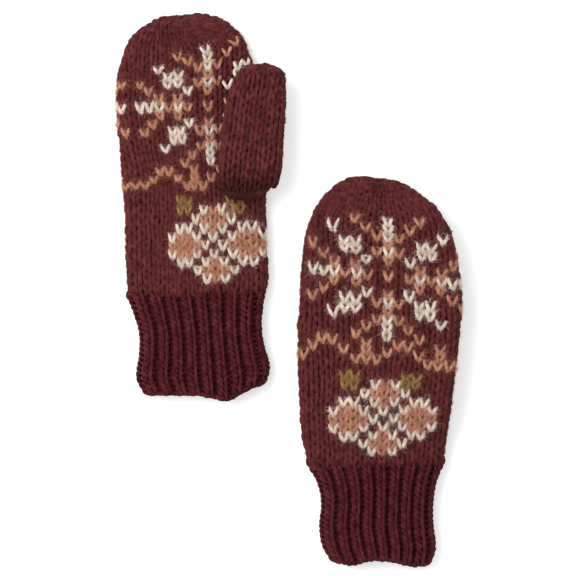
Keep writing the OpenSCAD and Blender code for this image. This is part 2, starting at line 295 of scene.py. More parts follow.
def pole_ring(slab, x, y_edge, side, north, radius, count, travel):
    """The stitches of a drawn-together end or an opening, moved by travel from the slab's edge over to a
    face. side is +1 for the upper face, and north is +1 where the fabric beyond the ring goes over the far
    edge."""
    angle = max(0.0, 1 - travel / (slab.half + slab.edge)) * math.pi / 2
    rolled = slab.edge * (1 - math.sin(angle))
    y = y_edge - north * max(rolled, travel - slab.half)
    z = slab.middle + side * slab.half * math.cos(angle)
    up = np.array([0, math.cos(angle), -math.sin(angle)])
    east = np.array([1.0, 0, 0])
    phi = 2 * math.pi * np.arange(count) / count
    return np.array([x, y, z]) + radius * (np.sin(phi)[:, None] * east - np.cos(phi)[:, None] * up)


SIDE_PULL = 0.06  # pull of a node's neighbours in its own round, against 1 for those above and below
RELAX_STEP = 0.3


def relax(net, slab, held, pole, steps):
    """Moves every free node towards the middle of its neighbours, kept on the slab. The ring of row 0
    travels over the edge to its place in the first third of the steps."""
    free = ~held
    fixed = net.copy()
    for step in range(steps):
        fixed[0] = slab.project(pole(min(1.0, 3.0 * step / steps)))
        net[0] = fixed[0]
        up_down = np.zeros_like(net)
        up_down[1:-1] = net[:-2] + net[2:]
        sides = np.roll(net, 1, axis=1) + np.roll(net, -1, axis=1)
        middle = (up_down + SIDE_PULL * sides) / (2 + 2 * SIDE_PULL)
        net[free] += RELAX_STEP * (middle - net)[free]
        if step % 8 == 0:
            near = slab.nearest(net.reshape(-1, 3)[:, :2])
        net = slab.project(net, near)
        net[held] = fixed[held]
    return net


class Net:
    """A smooth sheet through nodes p[row, column], closed round its columns."""

    def __init__(self, nodes, first_row=0):
        below = 2 * nodes[0] - nodes[1]
        above = 2 * nodes[-1] - nodes[-2]
        self.p = np.concatenate([[2 * below - nodes[0], below], nodes, [above, 2 * above - nodes[-1]]])
        self.first = first_row
        self.rows, self.columns = nodes.shape[:2]

    @staticmethod
    def weights(t):
        """Shares of four nodes in a row in the point at t between the middle two, and in its slope."""
        t = t[:, None]
        point = [-t + 2 * t**2 - t**3, 2 - 5 * t**2 + 3 * t**3, t + 4 * t**2 - 3 * t**3, -(t**2) + t**3]
        slope = [-1 + 4 * t - 3 * t**2, -10 * t + 9 * t**2, 1 + 8 * t - 9 * t**2, -2 * t + 3 * t**2]
        return np.hstack(point) / 2, np.hstack(slope) / 2

    def at(self, u, v):
        """Point, direction of rising u, direction of rising v, and outward normal."""
        v = np.clip(np.asarray(v, float) - self.first, -0.99, self.rows - 0.01) + 2
        u = np.asarray(u, float)
        iu, iv = np.floor(u).astype(int), np.floor(v).astype(int)
        wu, su = self.weights(u - iu)
        wv, sv = self.weights(v - iv)
        columns = (iu[:, None] + np.arange(-1, 3)) % self.columns
        rows = np.clip(iv[:, None] + np.arange(-1, 3), 0, len(self.p) - 1)
        near = self.p[rows[:, :, None], columns[:, None, :]]
        point = np.einsum("mi,mj,mijk->mk", wv, wu, near)
        du = np.einsum("mi,mj,mijk->mk", wv, su, near)
        dv = np.einsum("mi,mj,mijk->mk", sv, wu, near)
        n = np.cross(du, dv)
        n /= np.maximum(np.linalg.norm(n, axis=1), 1e-9)[:, None]
        return point, du, dv, n


def section(left_x, right_x, half, edge, count, start_x, pitch=None, slant=0.0):
    """Points [x, z] round a flattened tube, from start_x on the upper face towards +x. They are evenly
    spaced, or have their own pitch at the start; slant moves those on both sides of it towards +x."""
    a = np.linspace(0, math.pi / 2, 20)
    corner = np.column_stack([edge * np.sin(a), half * np.cos(a)])
    turn_right = np.vstack([corner, corner[::-1] * [1, -1]]) + [right_x - edge, 0]
    turn_left = -(np.vstack([corner, corner[::-1] * [1, -1]])) + [left_x + edge, 0]
    loop = np.vstack([[start_x, half], turn_right, turn_left, [start_x, half]])
    run = np.concatenate([[0], np.cumsum(np.linalg.norm(np.diff(loop, axis=0), axis=1))])
    even = run[-1] / count
    turn = 2 * math.pi * np.arange(count) / count
    extra = 0.0 if pitch is None else pitch - even
    s = even * np.arange(count) + extra * np.sin(turn) * count / (2 * math.pi) + slant * np.sin(turn) ** 2
    return np.column_stack([np.interp(s, run, loop[:, 0]), np.interp(s, run, loop[:, 1])])


def wander(shape, size, cells):
    """Smooth random waves over a net, closed round its columns."""
    rows, columns = shape
    v, u = np.meshgrid(np.arange(rows), np.arange(columns) * 2 * math.pi / columns, indexing="ij")
    out = np.zeros((rows, columns))
    for _ in range(cells):
        f = rng.integers(1, 6)
        out += np.sin(f * u + rng.uniform(0, 6.3)) * np.sin(rng.uniform(0.15, 0.6) * v + rng.uniform(0, 6.3))
    return size * out / math.sqrt(cells)


class Flat:
    """A slab with its left and right sides read by height, for rings of stitches that lie about it."""

    def __init__(self, slab):
        top = np.argmax(slab.line[:, 1])
        bottom = top + np.argmin(slab.line[top:, 1])
        self.slab = slab
        self.left, self.right = slab.line[: top + 1], slab.line[top : bottom + 1][::-1]
        self.top = self.left[-1]

    def ring(self, count, y_front, y_back, start_x, rise=None, pitch=None, slant=0.0, late=1.0):
        """A round of stitches whose front lies at y_front and whose back lies at y_back. Above 1, late keeps
        the sides nearer to the front."""
        slab = self.slab

        def at(y):
            l = np.interp(y, self.left[:, 1], self.left[:, 0])
            r = np.interp(y, self.right[:, 1], self.right[:, 0])
            edge = min(slab.edge, (r - l) / 2 - 0.5)
            middle = np.clip(start_x, l + edge, r - edge)
            return section(l, r, slab.half, edge, count, middle, pitch, slant)

        first = at(y_front)
        y = y_front + (y_back - y_front) * ((1 - first[:, 1] / slab.half) / 2) ** late
        if rise is not None:
            y = y + rise(first[:, 0] - start_x)
        y = np.minimum(y, self.top[1] - 0.8)
        own = np.array([at(y[k])[k] for k in range(count)])
        return slab.project(np.column_stack([own[:, 0], y, own[:, 1] + slab.middle]))


BACK_ROW = 5.45  # height of a round on the back of a hand
CROWN, CROWN_OVER = 1.6, 34  # how far the upper layer rises, and over what distance from the edge
HOLLOW, HOLLOW_WIDE, HOLLOW_LONG = 6.5, 15, 8  # the dip where the tip is drawn together
LIFT_EDGE, LIFT_ACROSS, LIFT_ALONG, LIFT_END = -46, 36, 48, 223  # slopes of a lifted hand, as in part.scad
PRESSED = 2.0  # how far a thumb presses the hand in
PRESSED_X, PRESSED_Y, PRESSED_END = 6, 116, 238  # where it starts to, and where it ends
GATHER_R, THUMB_GATHER_R = 2.4, 2.0  # radius of the drawn-together ends


def under_thumb(x, y):
    """1 where the thumb lies against the hand and presses the fabric in, 0 away from it."""
    return ease((x - PRESSED_X) / 9) * ease((y - PRESSED_Y) / 12) * ease((PRESSED_END - y) / 12)


def hand_rounds(m, flat):
    """The rounds of a hand, each laid about the slab: those of the charts, and then those of the tip, which
    close in on the gather at the far edge, while their tilt and their own pitch die out."""
    rows = np.arange(FIRST_ROW, FLAKE_TOP + TIP_ROUNDS + 1)
    net = np.zeros((len(rows), ROUND_STITCHES, 3))
    wrist = table(m.rows, FIRST_ROW)
    top_front = table(m.rows, FLAKE_TOP)
    top_back = wrist + BACK_ROW * (FLAKE_TOP - FIRST_ROW)
    for k, row in enumerate(rows[:-1]):
        t = max(0, row - FLAKE_TOP) / TIP_ROUNDS
        calm = max(0.0, 1 - 1.6 * t)
        tilt_left, tilt_right = table(m.tilt_left, row) * calm, table(m.tilt_right, row) * calm

        def rise(away):
            return tilt_left * np.minimum(away, 0) + tilt_right * np.maximum(away, 0)

        start_x = table(m.middle_column, row) * (1 - t) + m.gather * t
        pitch = table(m.pitch, row) * (1 - 0.5 * t) if t <= 0.3 else None
        y_front, y_back = table(m.rows, row), wrist + BACK_ROW * k
        if t > 0:
            part = t * (1.17 - 0.17 * t)
            y_front = top_front + (flat.top[1] - top_front) * part
            y_back = top_back + (flat.top[1] - top_back) * part
        net[k] = flat.ring(ROUND_STITCHES, y_front, y_back, start_x, rise, pitch, table(m.slant, row))
    slab = flat.slab
    travel = 0.45 * (slab.half + slab.edge)
    net[-1] = slab.project(pole_ring(slab, m.gather, flat.top[1], 1, 1, GATHER_R, ROUND_STITCHES, travel))
    for _ in range(2):
        net[1:-1] += 0.25 * (net[:-2] + net[2:] - 2 * net[1:-1])
        net[-3:] = 0.5 * net[-3:] + 0.25 * (np.roll(net[-3:], 1, axis=1) + np.roll(net[-3:], -1, axis=1))
    return slab.project(net)


def hand_net(m, hand_t):
    """The hand's net: rows from the wrist to the tip, with row 0 in the middle of the snowflake."""
    half, edge = hand_t / 2 - SKIN, 9.0 - SKIN
    outline = smooth_line(m.outline)
    slab = Slab(outline, half, edge, hand_t / 2)
    slab.line = outline + slab.inward * SKIN
    net = hand_rounds(m, Flat(slab))
    x, y, z = net[..., 0], net[..., 1], net[..., 2]
    d, _ = slab.inset(net.reshape(-1, 3)[:, :2])
    upper = np.clip((z - hand_t / 2) / half, 0, 1)
    z += CROWN * ease(d.reshape(upper.shape) / CROWN_OVER) * upper
    hollow = np.exp(-(((x - m.gather + 2) / HOLLOW_WIDE) ** 2) - ((y - m.length + 16) / HOLLOW_LONG) ** 2)
    z -= HOLLOW * hollow * upper
    z += wander(z.shape, 0.22, 7) * upper
    facing = np.clip(m.thumb_face * (z - hand_t / 2) / half, 0, 1)
    z -= m.thumb_face * PRESSED * facing * under_thumb(x, y)
    raised = m.lift * ease((x - LIFT_EDGE) / LIFT_ACROSS) * ease((y - CUFF_H) / LIFT_ALONG)
    raised *= 1 - ease((y - LIFT_END) / (m.length - LIFT_END))
    z += raised
    for axis in range(2):
        net[1:-1, :, axis] += wander(z.shape, 0.4, 9)[1:-1]
    net[:-2, :, :2] += rng.normal(0, 0.26, net[:-2, :, :2].shape)
    return Net(net, FIRST_ROW)


def cuff_net(m, cuff_t):
    """The cuff's net: one column a stitch, rows from the cast-on edge up to the wrist."""
    half, edge = cuff_t / 2 - SKIN, 8.5 - SKIN
    nodes = np.zeros((CUFF_ROUNDS + 1, CUFF_STITCHES, 3))
    edges = smooth_line(m.cuff_edges)
    for k in range(CUFF_ROUNDS + 1):
        y = 1.5 + (CUFF_H - 1.5) * k / CUFF_ROUNDS
        l = np.interp(y, edges[:, 0], edges[:, 1]) + SKIN
        r = np.interp(y, edges[:, 0], edges[:, 2]) - SKIN
        ring = section(l, r, half, edge, CUFF_STITCHES, (l + r) / 2)
        hem = table(m.hem, ring[:, 0]) * (1 - ease(k / CUFF_ROUNDS * 1.6))
        nodes[k] = np.column_stack([ring[:, 0], y + hem, ring[:, 1] + cuff_t / 2])
    upper = np.clip((nodes[..., 2] - cuff_t / 2) / half, 0, 1)
    nodes[..., 2] += 0.5 * upper
    return Net(nodes)


THUMB_CROWN, THUMB_CROWN_OVER = 1.2, 16
FOLD_SINK, FOLD_Y, FOLD_OVER = 8.0, -12, 20  # how the thumb's upper layer sinks towards its base fold
FIRM_ROUND = 3  # the first round that is laid; those before it are relaxed
FRONT_START, FRONT_ROW = -24.5, 5.7  # the rounds on the front of a thumb, counted from its base
BACK_START, BACK_THUMB_ROW = 14, 3.5  # and on its back


def thumb_net(side, lo, hi):
    """A thumb's net about the pivot in its opening. side is +1 for the thumb that lies on the palm,
    whose opening is beneath it, and -1 for the thumb that lies beneath its hand."""
    half, edge = (hi - lo) / 2 - SKIN, 7.5 - SKIN
    closed = smooth_line(THUMB_OUTLINE[-2:] + THUMB_OUTLINE + THUMB_OUTLINE[:3])
    start = np.argmin(((closed - THUMB_OUTLINE[0]) ** 2).sum(1))
    end = start + 20 + np.argmin(((closed[start + 20 :] - THUMB_OUTLINE[0]) ** 2).sum(1))
    slab = Slab(closed, half, edge, (lo + hi) / 2)
    slab.line = (closed + slab.inward * SKIN)[start:end]
    slab.inward = slab.inward[start:end]
    nodes = np.zeros((THUMB_ROUNDS + 1, THUMB_STITCHES, 3))
    flat = Flat(slab)
    base = slab.line[np.argmin(slab.line[:, 1])]
    for k in range(FIRM_ROUND, THUMB_ROUNDS):
        y_front = FRONT_START + FRONT_ROW * k - 0.06 * max(0, k - 13) ** 2
        y_back = BACK_START + BACK_THUMB_ROW * k
        nodes[k] = flat.ring(THUMB_STITCHES, y_front, y_back, THUMB_MIDDLE, late=2.0)
    for k in range(FIRM_ROUND):
        t = 1 - k / FIRM_ROUND
        nodes[k] = nodes[FIRM_ROUND] * (1 - t) + np.array([*base, slab.middle]) * t
    tip_x, tip_y = flat.top
    last = pole_ring(slab, tip_x, tip_y, 1, 1, THUMB_GATHER_R, THUMB_STITCHES, 0.35 * (half + edge))
    nodes[-1] = slab.project(last)
    held = np.zeros(nodes.shape[:2], bool)
    held[0] = held[-1] = True
    held[FIRM_ROUND:THUMB_ROUNDS] = True
    base_x, base_y = base
    pole_x = 0.0 if side > 0 else THUMB_MIDDLE

    def base_ring(part):
        x = base_x + (pole_x - base_x) * part
        travel = part * (-base_y + half)
        return pole_ring(slab, x, base_y, -1, -1, 3 + 6.5 * part, THUMB_STITCHES, travel)

    net = relax(nodes, slab, held, base_ring, 400)
    x, y, z = net[..., 0], net[..., 1], net[..., 2]
    if side > 0:
        d, _ = slab.inset(net.reshape(-1, 3)[:, :2])
        upper = np.clip((z - slab.middle) / half, 0, 1)
        z += THUMB_CROWN * ease(d.reshape(upper.shape) / THUMB_CROWN_OVER) * upper
        z -= FOLD_SINK * (1 - ease((y - FOLD_Y) / FOLD_OVER)) * upper
    net[..., :2] += rng.normal(0, 0.14, net[..., :2].shape)
    if side < 0:
        net[..., 0] = THUMB_MIDDLE - x
        net[..., 2] = lo + hi - z
    return Net(net)


# ---------------------------------------------------------------- yarn


class Yarn:
    """Strands of yarn that become one mesh, with the loose fibres that stand off them."""

    SIDES = 6
    FLAT, WIDE = 0.92, 1.04  # the yarn's section, squashed a little onto the fabric
    FLUFF = 0.06  # how uneven the yarn's surface is

    def __init__(self):
        self.points, self.normals, self.radii, self.lengths, self.fuzz = [], [], [], [], []

    def add(self, points, normals, radius, fuzz=0):
        """One strand along the points; fuzz is how many loose fibres stand off it."""
        self.points.append(points)
        self.normals.append(normals)
        self.radii.append(np.broadcast_to(radius, (len(points),)))
        self.lengths.append(len(points))
        self.fuzz.append(fuzz)

    def build(self):
        """Vertices, quads, triangles, and a UV for each corner of the quads and triangles."""
        c, n, r = np.vstack(self.points), np.vstack(self.normals), np.concatenate(self.radii)
        first = np.concatenate([[0], np.cumsum(self.lengths)[:-1]])
        last = first + np.array(self.lengths) - 1
        tangent = np.zeros_like(c)
        tangent[1:-1] = c[2:] - c[:-2]
        tangent[first] = c[first + 1] - c[first]
        tangent[last] = c[last] - c[last - 1]
        tangent /= np.maximum(np.linalg.norm(tangent, axis=1), 1e-9)[:, None]
        side = np.cross(tangent, n)
        side /= np.maximum(np.linalg.norm(side, axis=1), 1e-9)[:, None]
        up = np.cross(side, tangent)
        k = self.SIDES
        angle = 2 * math.pi * np.arange(k) / k + math.pi
        cos, sin = np.cos(angle)[None, :, None], np.sin(angle)[None, :, None]
        ring = cos * up[:, None] * self.FLAT + sin * side[:, None] * self.WIDE
        fluff = 1 + rng.normal(0, self.FLUFF, (len(c), k, 1))
        vertices = (c[:, None] + r[:, None, None] * ring * fluff).reshape(-1, 3)
        step = np.linalg.norm(np.diff(c, axis=0, prepend=c[:1]), axis=1)
        along = np.cumsum(step) / 10
        starts = np.ones(len(c), bool)
        starts[last] = False
        i = np.nonzero(starts)[0]
        j = np.arange(k)
        a = i[:, None] * k + j
        b = i[:, None] * k + (j + 1) % k
        quads = np.stack([a, a + k, b + k, b], -1).reshape(-1, 4)
        u0, u1 = along[i][:, None] + 0 * j, along[i + 1][:, None] + 0 * j
        v0, v1 = (j / k)[None] + 0 * i[:, None], ((j + 1) / k)[None] + 0 * i[:, None]
        uv = np.stack([u0, v0, u1, v0, u1, v1, u0, v1], -1).reshape(-1, 8)
        caps = np.concatenate([first, last])
        centres = len(vertices) + np.arange(len(caps))
        vertices = np.vstack([vertices, c[caps]])
        ca = caps[:, None] * k + j
        cb = caps[:, None] * k + (j + 1) % k
        flip = np.arange(len(caps)) >= len(first)
        ca, cb = np.where(flip[:, None], cb, ca), np.where(flip[:, None], ca, cb)
        tris = np.stack([ca, cb, centres[:, None] + 0 * ca], -1).reshape(-1, 3)
        tri_uv = np.tile([0.0, 0.0, 0.0, 0.1, 0.1, 0.1], (len(tris), 1))
        return vertices, quads, tris, uv, tri_uv, (c, up, side, tangent, r, first)

    def fibres(self, made, reach, width):
        """Loose fibres: thin, curved, tapered spikes that stand off the outer half of the yarn. Each has
        seven points: a triangle at its root, a triangle at its knee, and its tip."""
        c, up, side, tangent, r, first = made
        pick = [f + rng.integers(1, max(2, n - 1), q) for f, n, q in zip(first, self.lengths, self.fuzz)]
        pick = np.concatenate(pick).astype(int)
        m = len(pick)
        if m == 0:
            return np.zeros((0, 3)), np.zeros((0, 4), int), np.zeros((0, 3), int)
        a = rng.normal(0, 1.0, m)
        out = np.cos(a)[:, None] * up[pick] + np.sin(a)[:, None] * side[pick]
        base = c[pick] + out * r[pick][:, None] * 0.9
        turn = rng.uniform(0, 2 * math.pi, m)
        flat = np.cos(turn)[:, None] * tangent[pick] + np.sin(turn)[:, None] * side[pick]
        way = flat + up[pick] * rng.uniform(0.05, 0.55, m)[:, None] + 0.3 * out
        way /= np.linalg.norm(way, axis=1)[:, None]
        long = reach * (0.3 + 0.7 * rng.uniform(0, 1, m)[:, None] ** 2)
        bend = rng.normal(0, 0.45, (m, 3))
        knee = base + way * long * 0.5
        tip = knee + (way + bend - 0.35 * up[pick]) * long * 0.5
        across = np.cross(way, out + 0.01)
        across /= np.maximum(np.linalg.norm(across, axis=1), 1e-9)[:, None]
        other = np.cross(way, across)
        angle = 2 * math.pi * np.arange(3) / 3
        star = np.cos(angle)[None, :, None] * across[:, None] + np.sin(angle)[None, :, None] * other[:, None]
        low = base[:, None] + star * width
        mid = knee[:, None] + star * width * 0.75
        v = np.concatenate([low, mid, tip[:, None]], 1).reshape(-1, 3)
        o = np.arange(m)[:, None] * 7
        j, k = np.arange(3), (np.arange(3) + 1) % 3
        quads = np.stack([o + j, o + k, o + 3 + k, o + 3 + j], -1).reshape(-1, 4)
        tris = np.stack([o + 3 + j, o + 3 + k, o + 6 + 0 * j], -1).reshape(-1, 3)
        base_tri = np.stack([o[:, 0] + 2, o[:, 0] + 1, o[:, 0]], -1)
        return v, quads, np.vstack([tris, base_tri])


def mesh_from(name, vertices, quads, tris, uv=None):
    """A smooth-shaded mesh object from arrays, in metres."""
    mesh = bpy.data.meshes.new(name)
    corners = np.concatenate([quads.ravel(), tris.ravel()]).astype(np.int32)
    sizes = np.concatenate([np.full(len(quads), 4), np.full(len(tris), 3)]).astype(np.int32)
    mesh.vertices.add(len(vertices))
    mesh.vertices.foreach_set("co", (vertices * MM).astype(np.float32).ravel())
    mesh.loops.add(len(corners))
    mesh.loops.foreach_set("vertex_index", corners)
    mesh.polygons.add(len(sizes))
    starts = np.concatenate([[0], np.cumsum(sizes)[:-1]]).astype(np.int32)
    mesh.polygons.foreach_set("loop_start", starts)
    mesh.polygons.foreach_set("use_smooth", np.ones(len(sizes), bool))
    if uv is not None:
        layer = mesh.uv_layers.new(name="yarn")
        layer.data.foreach_set("uv", uv.astype(np.float32).ravel())
    mesh.update(calc_edges=True)
    mesh.validate()
    obj = bpy.data.objects.new(name, mesh)
    bpy.context.scene.collection.objects.link(obj)
    return obj


def yarn_object(name, yarn, place, materials, reach=3.2, width=0.08):
    """The yarn's mesh in its place in the row frame. Its fibres are up to reach long and width thick at
    the root; materials are those of the yarn and of the fibres."""
    v, quads, tris, uv, tri_uv, made = yarn.build()
    fv, fq, ft = yarn.fibres(made, reach, width)
    vertices = np.vstack([v, fv])
    vertices = placed(vertices, *place)
    vertices[:, 2] = np.maximum(vertices[:, 2], 0.05)
    all_quads = np.vstack([quads, fq + len(v)])
    all_tris = np.vstack([tris, ft + len(v)])
    uvs = np.concatenate([
        uv.ravel(), np.tile([0.3, 0.5], len(fq) * 4), tri_uv.ravel(), np.tile([0.3, 0.5], len(ft) * 3)
    ])
    obj = mesh_from(name, vertices, all_quads, all_tris, uvs)
    for material in materials:
        obj.data.materials.append(material)
    slots = np.concatenate([np.zeros(len(quads)), np.ones(len(fq)), np.zeros(len(tris)), np.ones(len(ft))])
    if len(obj.data.polygons) == len(slots):
        obj.data.polygons.foreach_set("material_index", slots.astype(np.int32))
        obj.data.polygons.foreach_set("use_smooth", slots == 0)
    return obj


def shell_object(name, net, u_steps, v_values, outer, inner, place, material, keep=None):
    """A thin closed layer of fabric that follows a net, between two depths beneath it."""
    u = np.arange(u_steps) * net.columns / u_steps
    vv, uu = np.meshgrid(v_values, u, indexing="ij")
    p, _, _, n = net.at(uu.ravel(), vv.ravel())
    rows, cols = vv.shape
    layers = [p + n * outer, p + n * inner]
    count = rows * cols
    vertices = np.vstack(layers)
    i, j = np.meshgrid(np.arange(rows - 1), np.arange(cols), indexing="ij")
    a, b = i * cols + j, i * cols + (j + 1) % cols
    quad = np.stack([a, b, b + cols, a + cols], -1)
    kept = np.ones(quad.shape[:2], bool)
    if keep is not None:
        kept = keep(p[quad.reshape(-1, 4)].mean(1)).reshape(kept.shape)
    faces = [quad[kept], quad[kept][:, ::-1] + count]
    padded = np.zeros((rows + 1, cols), bool)
    padded[1:-1] = kept
    below, above = padded[:-1], padded[1:]
    line = np.arange(rows)[:, None] * cols
    here, there = line + np.arange(cols), line + (np.arange(cols) + 1) % cols
    for mask, p0, p1 in ((above & ~below, here, there), (below & ~above, there, here)):
        q = np.stack([p1, p0, p0 + count, p1 + count], -1)
        faces.append(q[mask])
    west = np.roll(kept, 1, axis=1)
    lo_v, hi_v = a, a + cols
    for mask, p0, p1 in ((kept & ~west, hi_v, lo_v), (west & ~kept, lo_v, hi_v)):
        q = np.stack([p1, p0, p0 + count, p1 + count], -1)
        faces.append(q[mask])
    vertices = placed(vertices, *place)
    vertices[:, 2] = np.maximum(vertices[:, 2], 0.1)
    quads = np.vstack(faces)
    used, quads = np.unique(quads, return_inverse=True)
    obj = mesh_from(name, vertices[used], quads.reshape(-1, 4), np.zeros((0, 3), int))
    obj.data.materials.append(material)
    return obj


# ---------------------------------------------------------------- stitches

LOOP_STEPS = 14  # points along one loop of yarn
UNEVEN = 1.15  # how unevenly the stitches are drawn
HIDDEN_OVER, HIDDEN_DEPTH = 3.0, 1.5  # the ends of a run dive in over this many points, and this deep


def knit_run(
    net, row, centres, width, yarn, radius, lean=0.18, height=0.84, depth=LOOP_DEPTH, raised=0.0, fuzz=0,
    calm_face=0,
):
    """A run of knit stitches of one yarn along a round. Each is a loop whose legs stand in front as a V.
    t runs round each loop from -pi to pi, with its legs at -pi / 2 and pi / 2. lean opens the V, and
    raised lifts the loops off the fabric. fuzz is the loose fibres a stitch, of which few are left where
    the thumb presses on the face calm_face (1 upper, -1 lower)."""
    t = np.linspace(-math.pi, math.pi, LOOP_STEPS + 1)[:-1]
    k = len(centres)
    tt = np.append(np.tile(t, k), math.pi)
    cc = np.append(np.repeat(centres, LOOP_STEPS), centres[-1])
    calm = np.cos(tt / 2) ** 2

    def each(size):
        one = UNEVEN * rng.normal(0, size, k)
        return np.append(np.repeat(one, LOOP_STEPS), one[-1]) * calm

    lean_t = lean + each(0.028)
    u = cc + width * (tt / (2 * math.pi) + lean_t * np.sin(2 * tt) + each(0.035))
    v = row + (height + each(0.08)) * np.cos(tt) + each(0.06)
    out = raised - depth * np.cos(2 * tt) + each(0.25)
    step = np.arange(len(tt))
    hidden = 1 - ease(np.minimum(step, step[::-1]) / HIDDEN_OVER)
    out -= HIDDEN_DEPTH * hidden
    p, _, _, n = net.at(u, v)
    if calm_face:
        pressed = under_thumb(p[:, 0].mean(), p[:, 1].mean()) * (n[:, 2].mean() * calm_face > 0.3)
        fuzz *= 1 - 0.8 * pressed
    leg = np.sin(np.abs(tt)) ** 2 * (1 + 0.25 * np.sin(np.abs(tt) - math.pi / 2))
    plump = radius * (0.78 + 0.28 * leg) * (1 + rng.normal(0, 0.04, len(tt))) * (1 - 0.5 * hidden)
    yarn.add(p + n * out[:, None], n, plump, int(round(fuzz * k)))


def runs_of(letters):
    """Stretches of equal letters round a closed row, as (letter, first column, length)."""
    n = len(letters)
    if all(l == letters[0] for l in letters):
        return [(letters[0], 0, n)]
    start = next(i for i in range(n) if letters[i] != letters[i - 1])
    out = []
    i = start
    while i < start + n:
        j = i
        while j < start + n and letters[j % n] == letters[i % n]:
            j += 1
        out.append((letters[i % n], i, j - i))
        i = j
    return out


GROUND_FUZZ, TIP_FUZZ, THUMB_FUZZ, CONTRAST_FUZZ = 78, 48, 58, 185
GROUND_PARTS = (-16, -10, -4, 2, 8)  # first rows of the ground yarn's pieces after the first


NEAR_ROUND, STACK_HEIGHT = 3.0, 5.2  # distances to the next round: too near for it, and one stitch high


def knit_narrow_round(net, row, stitch_width, yarn, fuzz):
    """A round with as many stitches as its length has room for. Where the next round is far, stitches are
    stacked to fill the way; where it is near, every other round is left out and the rest are taller."""
    u = np.linspace(0, net.columns, 4 * net.columns + 1)
    p = net.at(u, np.full(len(u), float(row)))[0]
    run = np.concatenate([[0], np.cumsum(np.linalg.norm(np.diff(p, axis=0), axis=1))])
    count = max(6, int(round(run[-1] / stitch_width)))
    ends = np.interp(np.arange(count + 1) / count * run[-1], run, u)
    for a, b in zip(ends[:-1], ends[1:]):
        centre = np.array([(a + b) / 2])
        _, _, dv, _ = net.at(centre, np.array([float(row)]))
        high = np.linalg.norm(dv)
        if high < NEAR_ROUND and row % 2 == 1:
            continue
        stack = max(1, int(round(high / STACK_HEIGHT)))
        height = 1.5 if high < NEAR_ROUND else 0.82 / stack
        for k in range(stack):
            at_row = row + (k + 0.5) / stack - 0.5
            knit_run(net, at_row, centre, b - a, yarn, GROUND_R, height=height, fuzz=fuzz)


COLOURS = {"C": "cream", "P": "rose", "O": "olive"}  # the letters of the charts
GROUND_PIECES = 1 + len(GROUND_PARTS)


def knit_contrast(m, net, row, first, count, yarn):
    """A run of contrast stitches, which stand a little proud; one that was pulled large is drawn out."""
    column = (first + ROUND_STITCHES // 2) % ROUND_STITCHES - ROUND_STITCHES // 2
    larger = m.loose.get((row, column), 1.0) - 1 if count == 1 else 0.0
    centres = np.arange(first, first + count, dtype=float)
    knit_run(
        net, row + 1.1 * larger, centres, 1 + 0.5 * larger, yarn, CONTRAST_R, lean=0.25,
        height=0.78 * (1 + larger), depth=LOOP_DEPTH + 1.1 * larger, raised=0.45, fuzz=CONTRAST_FUZZ,
        calm_face=m.thumb_face,
    )


def knit_hand(m, net):
    """All yarn of a hand: its ground yarn in pieces, and each contrast yarn of each chart."""
    yarns = {f"ground_{k}": Yarn() for k in range(1, GROUND_PIECES + 1)}
    columns = np.arange(ROUND_STITCHES)
    for row in range(FIRST_ROW, FLAKE_TOP + 1):
        stitches = [chart_stitch(row, c) for c in columns]
        letters = [s[1] for s in stitches]
        if m.name == "right":
            p, _, _, n = net.at(columns.astype(float), np.full(ROUND_STITCHES, float(row)))
            near = np.hypot(p[:, 0] - m.hole[0], p[:, 1] - m.hole[1])
            for c in np.nonzero((near < THUMB_HOLE) & (n[:, 2] > 0.5))[0]:
                letters[c] = " "
        name = next((s[0] for s in stitches if s[0]), None)
        for letter, first, count in runs_of(letters):
            if letter == ".":
                yarn = yarns[f"ground_{1 + sum(row >= start for start in GROUND_PARTS)}"]
                centres = np.arange(first, first + count, dtype=float)
                knit_run(net, row, centres, 1, yarn, GROUND_R, fuzz=GROUND_FUZZ)
            elif letter != " ":
                yarn = yarns.setdefault(f"{name}_{COLOURS[letter]}", Yarn())
                knit_contrast(m, net, row, first, count, yarn)
    tip = yarns[f"ground_{GROUND_PIECES}"]
    for k in range(1, TIP_ROUNDS):
        if k <= 2:
            centres = np.arange(ROUND_STITCHES, dtype=float)
            knit_run(net, FLAKE_TOP + k, centres, 1, tip, GROUND_R, fuzz=TIP_FUZZ)
        else:
            knit_narrow_round(net, FLAKE_TOP + k, 6.4 - 0.2 * k, tip, TIP_FUZZ // 2)
    return yarns


BASE_ROUNDS = 5  # rounds at a thumb's base whose stitches are smaller and deeper
THUMB_STITCH = 6.4  # width of a stitch where a thumb narrows


def knit_thumb(net):
    """All yarn of a thumb, with fewer stitches in its last rounds."""
    yarn = Yarn()
    for row in range(1, THUMB_ROUNDS):
        if 2 <= row <= THUMB_ROUNDS - 4:
            tight = 1 - ease((row - 2) / BASE_ROUNDS)
            knit_run(
                net, row, np.arange(THUMB_STITCHES, dtype=float), 1, yarn, GROUND_R - 0.28 * tight,
                depth=LOOP_DEPTH + 0.3 * tight, fuzz=int(THUMB_FUZZ * (1 - 0.7 * tight)),
            )
        else:
            knit_narrow_round(net, row, THUMB_STITCH, yarn, 12 if row == 1 else THUMB_FUZZ)
    return yarn


RIB_SHARE = 0.70  # part of a rib's width that its knit column takes
RIB_OUT, RIB_IN = 1.7, -2.0  # how far knit columns stand out and purl columns lie back
CUFF_YARN_R = 1.12


